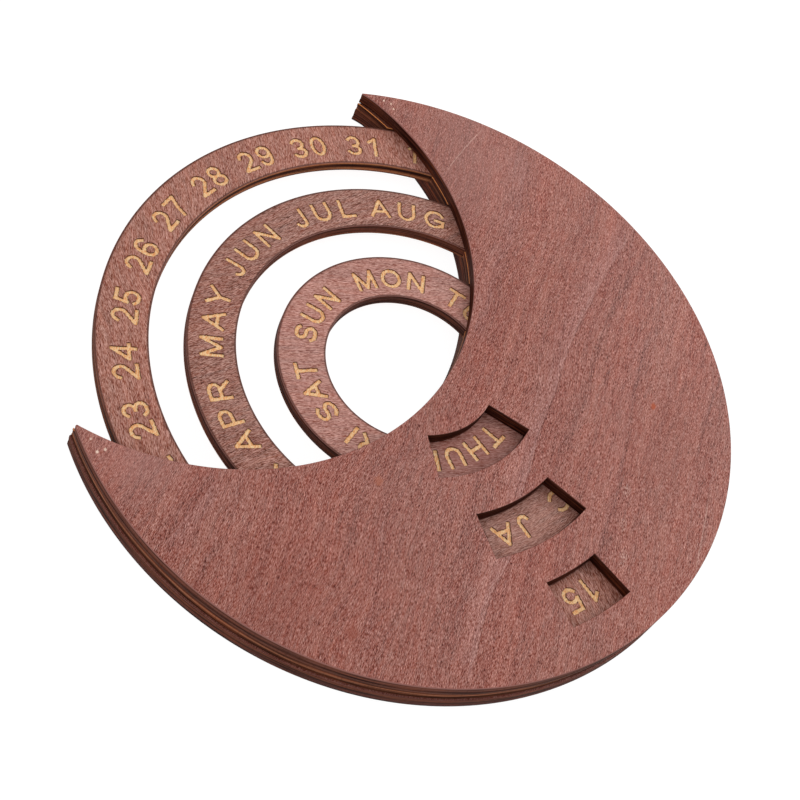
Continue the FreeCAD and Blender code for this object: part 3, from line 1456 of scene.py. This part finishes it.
    def _mark(
        self, graph: Graph, bench: Bench, mark: Mark, colour: object, fleck: object
    ) -> bpy.types.NodeSocket:
        """Lay a mark over a colour: an ellipse with a ragged border.

        Args:
            graph: The material's graph.
            bench: Where the drawing lies.
            mark: The mark.
            colour: The colour so far.
            fleck: The fleck pattern, which breaks a scuff up.

        Returns:
            The new colour.
        """
        local = graph.space(graph.coords, bench.spot(*mark.place), self.grain, (*mark.size, METRE))
        flat = graph.vector("MULTIPLY", local, (1.0, 1.0, 0.0))
        ragged = graph.sway(graph.noise(local, 1.6, 3.0), 1.1)
        reach = graph.math("ADD", graph.vector("LENGTH", flat), ragged)
        full, gone = (0.0, 1.2) if mark.kind is MarkKind.CLOUD else (0.35, 1.0)
        share = graph.spread(reach, gone, full)
        if mark.kind is MarkKind.SCUFF:
            share = graph.math("MULTIPLY", share, graph.spread(fleck, 0.48, 0.62))
        return graph.mix(graph.math("MULTIPLY", share, mark.strength), colour, mark.colour)


def stack(*plies: tuple[float, int, int, int]) -> tuple[tuple[float, Colour], ...]:
    """The plies down an edge, each from its depth in mm and its 8-bit display values."""
    return tuple((depth, srgb(*values)) for depth, *values in plies)


@dataclass(frozen=True)
class CutPly(Finish):
    """The laser-cut edge of a plywood sheet: stained plies and smoke, one under the other.

    Attributes:
        name: The material's name.
        bottom: Height of the sheet's back face, in mm.
        top: Height of its front face.
        plies: Colours down the edge, each with its depth below the front face, in mm.
        skin: Colour of the stained arris at the front face.
        skin_depth: How deep that is, in mm.
        char: Colour of a burnt cut.
        wander: How far the plies wander up and down, in mm.
    """

    name: str
    bottom: float
    top: float
    plies: tuple[tuple[float, Colour], ...]
    skin: Colour = srgb(150, 102, 94)
    skin_depth: float = 0.36
    char: Colour = srgb(56, 22, 15)
    wander: float = 0.3

    def material(self, bench: Bench) -> bpy.types.Material:
        """See Finish.material."""
        graph = Graph(self.name)
        streak = graph.grain(5.0, 5.0, 0.13, detail=3.0, roughness=0.65)
        wave = graph.grain(11.0, 11.0, 3.0)
        tooth = graph.grain(0.35, 0.35, 4.0)
        seam = graph.grain(14.0, 14.0, 0.24)
        height = graph.node("ShaderNodeSeparateXYZ", graph.coords).outputs[2]
        tall = self.top - self.bottom
        depth = graph.math("DIVIDE", graph.math("SUBTRACT", self.top * MM, height), tall * MM)
        ply = graph.math("ADD", depth, graph.sway(wave, self.wander / tall))
        colour = graph.ramp(ply, [(down / tall, tint) for down, tint in self.plies])
        burnt = graph.math("ADD", graph.scorch(), graph.sway(wave, 0.4))
        colour = graph.mix(graph.spread(burnt, 0.2, 1.0, 0.0, 0.95, smooth=False), colour, self.char)
        for noise, low, high, strength, tint in (
            (seam, 0.5, 0.68, 0.5, srgb(132, 66, 38)),
            (seam, 0.5, 0.34, 0.8, srgb(28, 9, 5)),
            (streak, 0.52, 0.72, 0.28, srgb(150, 96, 74)),
            (streak, 0.48, 0.28, 0.45, SOOT),
            (tooth, 0.5, 0.3, 0.25, SOOT),
        ):
            colour = graph.mix(graph.spread(noise, low, high, 0.0, strength), colour, tint)
        hem = graph.math("SUBTRACT", self.skin_depth, graph.math("MULTIPLY", graph.scorch(), 0.12))
        hem = graph.math("DIVIDE", graph.math("ADD", hem, graph.math("MULTIPLY", streak, 0.1)), tall)
        skin = graph.spread(graph.math("SUBTRACT", depth, hem), 0.05 / tall, -0.05 / tall)
        skin = graph.math("MULTIPLY", skin, graph.spread(graph.scorch(), 0.99, 0.95, 0.15, 1.0))
        graph.bump(graph.math("ADD", streak, graph.math("MULTIPLY", tooth, 0.6)), 0.4, 0.08)
        roughness = graph.spread(streak, 0.3, 0.7, 0.55, 0.75, smooth=False)
        return graph.dress(graph.mix(skin, colour, self.skin), roughness, 0.03)


@dataclass(frozen=True)
class Engraved(Finish):
    """The floor of engraved letters: bare light wood, toasted along its borders.

    Attributes:
        name: The material's name.
        bare: Colour of the bare wood.
        toasted: Colour of toasted wood.
        char: Colour right at the border.
        blotch: Colour of its blotches.
    """

    name: str = "engraved_floor"
    bare: Colour = srgb(255, 218, 168)
    toasted: Colour = srgb(238, 160, 98)
    char: Colour = srgb(136, 72, 38)
    blotch: Colour = srgb(212, 146, 92)

    def material(self, bench: Bench) -> bpy.types.Material:
        """See Finish.material."""
        graph = Graph(self.name)
        grit = graph.grain(0.6, 0.18, 1.0, turn=20.0, detail=3.0, roughness=0.7)
        colour = graph.mix(graph.spread(grit, 0.38, 0.6), self.toasted, self.bare)
        colour = graph.mix(graph.spread(graph.grain(1.6, 1.6, 1.0), 0.5, 0.3, 0.0, 0.35), colour, self.blotch)
        edge = graph.math("ADD", graph.scorch(), graph.sway(grit, 0.9))
        colour = graph.mix(graph.spread(edge, 0.6, 1.05, 0.0, 0.85), colour, self.char)
        graph.bump(grit, 0.5, 0.08)
        return graph.dress(colour, 0.8, 0.2)


@dataclass(frozen=True)
class RecessWall(Finish):
    """The steep side of an engraved letter: scorched dark brown.

    Attributes:
        name: The material's name.
        dark: The darker brown.
        light: The lighter brown.
    """

    name: str = "recess_wall"
    dark: Colour = srgb(52, 18, 6)
    light: Colour = srgb(114, 52, 20)

    def material(self, bench: Bench) -> bpy.types.Material:
        """See Finish.material."""
        graph = Graph(self.name)
        grit = graph.grain(0.4, 0.4, 0.2)
        graph.bump(grit, 0.3, 0.05)
        return graph.dress(graph.mix(graph.spread(grit, 0.35, 0.65), self.dark, self.light), 0.8, 0.05)


SCUFFED = srgb(214, 176, 164)
RUST = srgb(176, 78, 40)
CREAM = srgb(244, 212, 192)


def front_veneer() -> Veneer:
    """The front plate's veneer, with the figure and the marks that it shows.

    Returns:
        The veneer. Its figure lines are each a path, bands, a ripple and, for some, how sharp they are.
    """
    grey, red, deep, pale = srgb(166, 118, 112), srgb(142, 74, 62), srgb(98, 50, 44), srgb(184, 138, 130)
    lines = (
        (
            (
                (-69.4, 25.3), (-52.0, 25.3), (-38.1, 26.1), (-27.0, 27.0), (-14.0, 29.5), (-4.2, 30.9),
                (8.2, 33.6), (14.0, 34.7), (30.1, 39.5), (38.1, 39.7), (49.7, 42.3), (59.8, 45.2),
            ),
            ((grey, -6.5, 0.4), (pale, -1.3, 0.25), (red, 8.0, 0.3), (deep, 0.6, 0.25)),
            0.5,
        ),
        (
            (
                (-71.8, 30.5), (-64.9, 30.4), (-41.9, 31.2), (-28.0, 33.5),
                (-17.5, 35.7), (-6.4, 37.0), (0.1, 37.7),
            ),
            ((deep, -1.4, 0.3), (deep, 1.6, 0.3)),
            0.7,
        ),
        (
            ((-45.3, 40.6), (-33.2, 43.2), (-22.3, 45.8), (0.0, 52.1), (12.4, 54.0), (22.2, 56.7)),
            ((deep, -0.9, 0.25), (deep, 1.2, 0.25), (grey, -5.0, 0.15)),
            0.7,
        ),
        (
            ((-73.1, -6.2), (-60.2, -1.6), (-47.2, 2.6), (-36.8, 4.3), (-23.5, 7.5), (-13.4, 11.3)),
            ((grey, -7.0, 0.3), (deep, 5.0, 0.17)),
            0.7,
        ),
        (
            ((-47.5, 59.9), (-44.1, 60.1), (-30.9, 61.7), (-18.5, 64.0)),
            ((deep, 0.6, 0.3), (deep, -0.5, 0.25)),
            0.5,
        ),
        (
            ((33.7, 12.7), (45.5, 16.9), (57.2, 21.6), (69.5, 26.7)),
            ((deep, 0.7, 0.25), (grey, -1.2, 0.25), (red, 4.0, 0.2)),
            0.5,
        ),
        (
            ((51.1, -17.8), (62.9, -17.5), (71.9, -18.1)),
            ((deep, -4.0, 0.2), (pale, 0.4, 0.3), (grey, 4.5, 0.4)),
            0.4,
        ),
        (((61.0, -11.0), (65.1, -10.3), (73.7, -8.5)), ((deep, 1.2, 0.35), (red, -1.5, 0.3)), 0.4),
        (
            ((-72.1, -18.3), (-57.2, -19.1), (-51.2, -18.8)),
            ((SCUFFED, 0.2, 0.5), (SCUFFED, -0.25, 0.65)),
            0.5,
            0.08,
        ),
        (((-14.0, 69.4), (-4.0, 72.0), (6.5, 74.2)), ((SCUFFED, -0.2, 0.55), (SCUFFED, 0.2, 0.4)), 0.4, 0.08),
    )
    knot, cloud, scuff, speck = MarkKind
    marks = (
        (cloud, (-59.0, -17.0), (28.0, 22.0), pale, 0.24),
        (cloud, (58.0, -33.0), (14.0, 14.0), pale, 0.3),
        (cloud, (64.0, 6.0), (16.0, 12.0), srgb(136, 66, 52), 0.2),
        (cloud, (-20.0, 56.0), (26.0, 12.0), srgb(150, 80, 64), 0.2),
        (knot, (-26.2, 49.8), (1.3, 0.8), RUST, 0.9),
        (knot, (63.7, 20.9), (2.3, 1.7), srgb(150, 74, 56), 0.5),
        (knot, (34.8, 22.2), (0.7, 0.3), srgb(120, 40, 30), 0.7),
        (knot, (31.3, 8.7), (1.8, 1.2), srgb(190, 108, 76), 0.4),
        (knot, (36.7, 15.1), (0.6, 0.3), srgb(110, 46, 40), 0.6),
        (knot, (-65.6, -17.2), (0.5, 0.35), srgb(110, 50, 48), 0.6),
        (scuff, (-2.0, 53.5), (2.6, 1.3), SCUFFED, 0.75),
        (scuff, (6.3, 56.3), (2.4, 1.1), SCUFFED, 0.6),
        (scuff, (13.6, 59.6), (3.6, 1.4), SCUFFED, 0.75),
        (speck, (-60.8, -41.3), (0.4, 0.35), CREAM, 1.0),
        (speck, (-61.2, -39.5), (0.5, 0.3), CREAM, 0.8),
        (speck, (-60.2, -38.2), (0.35, 0.35), CREAM, 1.0),
        (speck, (61.7, -39.0), (0.5, 0.4), CREAM, 1.0),
        (speck, (60.3, -38.1), (0.5, 0.4), CREAM, 0.8),
        (speck, (60.1, -41.6), (0.4, 0.35), CREAM, 0.7),
    )
    return Veneer(
        name="front_veneer",
        grain=13.0,
        offset=(3.0, 11.0),
        lines=tuple(FigureLine(*figure) for figure in lines),
        marks=tuple(Mark(*mark) for mark in marks),
    )


@dataclass
class Holder:
    """The fixed crescent: a back plate, the four spacers of the middle sheet and a front plate.

    Attributes:
        radius: Radius of the crescent, in mm.
        bite: The round bite.
        levels: Heights of the faces of the three sheets, from the back.
        bands: Inner and outer radius of each spacer, from the rim to the hub.
        windows: The three windows.
        rim_bite: The bite of the rim's spacer, which stands proud of the plates' one.
    """

    radius: float = 75.0
    bite: Bite = Bite()
    levels: tuple[float, float, float, float] = (0.0, 3.0, 6.0, 9.0)
    bands: tuple[Point, ...] = ((67.9, 74.6), (49.0, 55.7), (29.7, 37.4), (0.0, 18.0))
    windows: tuple[WindowOutline, ...] = (
        WindowOutline(56.5, 67.0, (17.25, 31.35), (17.25, 31.35)),
        WindowOutline(38.2, 48.5, (10.3, 40.6), (9.6, 40.2)),
        WindowOutline(19.0, 29.0, (-2.4, 51.8), (-2.4, 50.2)),
    )
    rim_bite: Bite = Bite(58.65)

    def sheets(self) -> list[Sheet]:
        """Lay the six pieces out.

        Returns:
            The pieces, from the back to the front.
        """
        back, middle, front, face = self.levels
        back_plies = stack(
            (0.0, 92, 48, 38), (0.35, 104, 62, 48), (0.7, 98, 60, 48), (1.1, 66, 36, 28), (1.5, 58, 32, 26),
            (1.9, 86, 52, 46), (2.3, 98, 62, 56), (2.6, 66, 38, 32), (2.9, 52, 30, 26),
        )
        middle_plies = stack(
            (0.0, 84, 44, 34), (0.9, 80, 42, 30), (1.15, 98, 48, 30), (1.4, 138, 80, 54),
            (1.65, 164, 108, 80), (1.9, 124, 78, 56), (2.2, 70, 34, 20), (2.5, 48, 22, 13),
            (2.75, 62, 32, 22), (3.0, 96, 60, 48),
        )
        front_plies = stack(
            (0.4, 118, 74, 64), (0.8, 82, 46, 38), (1.2, 110, 66, 54), (1.5, 104, 62, 50), (1.85, 66, 34, 26),
            (2.15, 62, 34, 27), (2.6, 100, 60, 48), (3.0, 78, 40, 28),
        )
        # The back veneer darkens at its rim, and the spacer veneer on the rim spacer, beside the sheet above:
        # laser fumes and painted shade
        back_finishes = [
            Veneer("back_veneer", 4.0, (31.0, -7.0), smoked=(-1.0, 74.5), smoke=0.5),
            CutPly("back_edge", back, middle, back_plies, skin_depth=0.0),
        ]
        middle_finishes = [
            Veneer("spacer_veneer", -9.0, (17.0, 23.0), smoked=(-1.0, 67.5)),
            CutPly("middle_edge", middle, front, middle_plies, skin=srgb(222, 138, 80), skin_depth=0.25),
        ]
        front_finishes = [front_veneer(), CutPly("front_edge", front, face, front_plies)]
        back_cut = CrescentOutline(self.radius, self.bite, (0.15, 0.4), (0.5, 1.0), bite_char=0.85)
        front_cut = CrescentOutline(self.radius, self.bite, (0.1, 0.3), (0.4, 0.0), bite_char=0.92)
        gaps = ("rim", "date_month", "month_weekday", "hub")
        bites = (self.rim_bite, self.bite, self.bite, self.bite)
        bands = [BandOutline(*band, bite) for band, bite in zip(self.bands, bites)]
        rows = [("back_crescent", "back_plate", Slot.PLATE, [back_cut], back, middle, back_finishes)]
        for gap, band in zip(gaps, bands):
            rows.append((f"{gap}_wall", f"{gap}_spacer", Slot.SPACER, [band], middle, front, middle_finishes))
        cuts = [front_cut, *self.windows]
        rows.append(("front_crescent", "front_plate", Slot.PLATE, cuts, front, face, front_finishes))
        return [Sheet(name, node, Body.HOLDER, *rest) for name, node, *rest in rows]


@dataclass
class Dial:
    """A lettered ring that turns in its channel.

    Attributes:
        name: Name of the piece.
        node: Its CAD node.
        body: Its body.
        inner: Inner radius, in mm.
        outer: Outer radius.
        lettering: What is engraved on it.
        veneer: Its face.
        edge: Its cut edge.
        chars: How burnt its inner and its outer edge are.
        levels: Heights of its back and front face.
    """

    name: str
    node: str
    body: Body
    inner: float
    outer: float
    lettering: Lettering
    veneer: Veneer
    edge: CutPly
    chars: Point
    levels: Point = (3.15, 5.85)

    def sheet(self) -> Sheet:
        """Lay the ring out as a sheet with two round cuts.

        Returns:
            The piece.
        """
        cuts = [
            CircleOutline(self.outer, False, self.chars[1]),
            CircleOutline(self.inner, True, self.chars[0]),
        ]
        finishes = [self.veneer, self.edge, Engraved(), RecessWall()]
        return Sheet(
            self.name, self.node, self.body, Slot.RING, cuts, *self.levels, finishes, lettering=self.lettering
        )


def dials() -> list[Dial]:
    """Set the dials out.

    Returns:
        The weekday, month and date dials, from the hub outwards.
    """
    levels = Dial.levels
    weekdays = ("SUN", "MON", "TUE", "WED", "THUR", "FRI", "SAT")
    months = ("JAN", "FEB", "MAR", "APR", "MAY", "JUN", "JUL", "AUG", "SEP", "OCT", "NOV", "DEC")
    dates = tuple(str(day) for day in range(1, 32))
    month_angles = (32.9, 62.9, 92.8, 123.0, 154.8, 183.8, 213.2, 241.1, 270.8, 301.0, 331.5, 362.0)
    weekday_plies = stack(
        (0.0, 82, 44, 34), (0.2, 60, 28, 21), (0.75, 76, 47, 41), (1.3, 64, 38, 34), (1.95, 50, 27, 22),
        (2.3, 60, 36, 30), (2.5, 100, 62, 48), (2.7, 50, 26, 20),
    )
    month_plies = stack(
        (0.0, 82, 42, 32), (0.2, 66, 30, 20), (0.75, 82, 46, 37), (1.3, 96, 51, 39), (1.9, 90, 45, 32),
        (2.25, 84, 46, 34), (2.45, 170, 102, 64), (2.7, 70, 34, 24),
    )
    date_plies = stack(
        (0.0, 130, 70, 44), (0.12, 196, 124, 82), (0.42, 172, 108, 70), (0.6, 62, 27, 16), (0.9, 32, 7, 2),
        (1.3, 36, 9, 3), (1.55, 96, 50, 30), (1.8, 154, 96, 62), (2.05, 172, 108, 72), (2.4, 112, 64, 42),
        (2.7, 80, 45, 30),
    )
    # Painted shade: a dark red patch on the weekday ring where it shows through its window, for the light
    # that the window's walls keep out
    weekday_window_shade = Mark(MarkKind.CLOUD, (9.8, 21.9), (18.0, 12.0), srgb(118, 50, 38), 0.5)
    # Painted light: a pale patch on the month ring where it shows through its window
    month_window_light = Mark(MarkKind.CLOUD, (18.2, 39.0), (18.0, 12.0), srgb(196, 138, 122), 0.3)
    # Each ring's face darkens near its two round edges, by the gaps of its channel: laser fumes and painted
    # shade
    return [
        Dial(
            "weekday_ring_lettered", "weekday_ring", Body.WEEKDAY, 18.5, 29.2,
            Lettering(weekdays, 20.85, 4.85, 0.96, 2.1, (174.8, 230.75, 282.3, 333.0, 388.8, 441.5, 484.1)),
            Veneer(
                "weekday_veneer", -50.0, (-13.0, 5.0), srgb(182, 128, 116),
                marks=(weekday_window_shade,), smoked=(18.75, 28.95),
            ),
            CutPly("weekday_edge", *levels, weekday_plies, skin_depth=0.05, wander=0.15),
            (0.2, 0.4),
        ),
        Dial(
            "month_ring_lettered", "month_ring", Body.MONTH, 37.9, 48.5,
            Lettering(months, 40.6, 5.0, 0.94, 1.8, month_angles, 1.05),
            Veneer(
                "month_veneer", -28.0, (41.0, -19.0), srgb(159, 109, 95),
                marks=(month_window_light,), smoked=(38.15, 48.25),
            ),
            CutPly("month_edge", *levels, month_plies, skin_depth=0.05, wander=0.15),
            (0.2, 0.5),
        ),
        Dial(
            "date_ring_lettered", "date_ring", Body.DATE, 56.2, 67.4,
            Lettering(dates, 58.6, 5.6, 0.94, 0.5, (242.6, 250.11)),
            Veneer("date_veneer", 45.0, (-3.0, 37.0), srgb(171, 114, 98), smoked=(56.45, 67.15)),
            CutPly("date_edge", *levels, date_plies, skin_depth=0.05, wander=0.12),
            (0.2, 0.75),
        ),
    ]


@dataclass
class Studio:
    """The plain pale floor, the soft light and the camera.

    Attributes:
        camera_place: The camera's place, in mm from the axis.
        turn: Rotation vector, in radians, that takes the drawing's axes to the camera's right, down
            and forward ones. Its length is the angle and its direction is the axis.
        lens: Focal length, in mm, on a sensor of the width below.
        sensor: Width of the sensor, in mm.
        floor_half: Half the floor's side, in metres.
        floor_drop: How far the floor lies below the back plate, in metres.
    """

    camera_place: Triple = (215.44, 16.59, 277.68)
    turn: Triple = (-1.7030226168627232, -3.2114609923299353, 0.6464845456610109)
    lens: float = 72.54
    sensor: float = 36.0
    floor_half: float = 2.0
    floor_drop: float = 0.00005

    def camera(self, bench: Bench) -> None:
        """Make the camera and look through it.

        Args:
            bench: Where the drawing lies.
        """
        vector = Vector(self.turn)
        rows = Matrix.Rotation(vector.length, 3, vector.normalized())
        data = bpy.data.cameras.new("photo_camera")
        data.sensor_width = self.sensor
        data.lens = self.lens
        data.clip_start, data.clip_end = 0.01, 20.0
        camera = add_object("photo_camera", data)
        axes = Matrix((rows[0], -Vector(rows[1]), -Vector(rows[2]))).transposed()
        place = bench.place(np.array([self.camera_place]))[0]
        camera.matrix_world = Matrix.Translation(Vector(place)) @ axes.to_4x4()
        bpy.context.scene.camera = camera

    def floor(self) -> None:
        """Make the floor: one square that lies just under the back plate."""
        corners = np.array([[-1.0, -1.0, 0.0], [1.0, -1.0, 0.0], [1.0, 1.0, 0.0], [-1.0, 1.0, 0.0]])
        corners = corners * self.floor_half - [0.0, 0.0, self.floor_drop]
        mesh = bpy.data.meshes.new("studio_floor")
        mesh.from_pydata(corners.tolist(), [], [(0, 1, 2, 3)])
        graph = Graph("studio_floor")
        tone = graph.mix(graph.grain(400.0, 400.0, 400.0), (0.16, 0.16, 0.16), (0.2, 0.2, 0.2))
        graph.fill(graph.shader, {"Emission Color": (1.0, 1.0, 1.0), "Emission Strength": 0.93})
        mesh.materials.append(graph.dress(tone, 0.9, 0.1))
        add_object("studio_floor", mesh)

    def lights(self) -> None:
        """Make a pale world and two large soft lamps."""
        world = bpy.data.worlds.new("studio")
        world.use_nodes = True
        sky = world.node_tree.nodes["Background"].inputs
        sky["Color"].default_value = (1.0, 1.0, 1.0, 1.0)
        sky["Strength"].default_value = 0.6
        bpy.context.scene.world = world
        bpy.context.scene.view_settings.view_transform = "Standard"
        for name, place, size, power in (
            ("key", (-0.5, 0.25, 0.42), 0.7, 2.4),
            ("fill", (0.55, -0.45, 0.7), 0.8, 1.3),
        ):
            data = bpy.data.lights.new(name, "AREA")
            data.size, data.energy = size, power
            lamp = add_object(name, data)
            lamp.location = place
            lamp.rotation_mode = "QUATERNION"
            lamp.rotation_quaternion = Vector(place).to_track_quat("Z", "Y")


def main() -> None:
    """Load the frame, build every piece and light the scene."""
    logging.basicConfig(level=logging.INFO, format="%(name)s: %(message)s")
    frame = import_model()
    bench = Bench(tuple(frame["joints"][0]["pos_m"][:2]))
    studio = Studio()
    studio.camera(bench)
    for sheet in Holder().sheets():
        sheet.build(bench)
    for dial in dials():
        dial.sheet().build(bench)
    studio.floor()
    studio.lights()


if __name__ == "__main__":
    main()
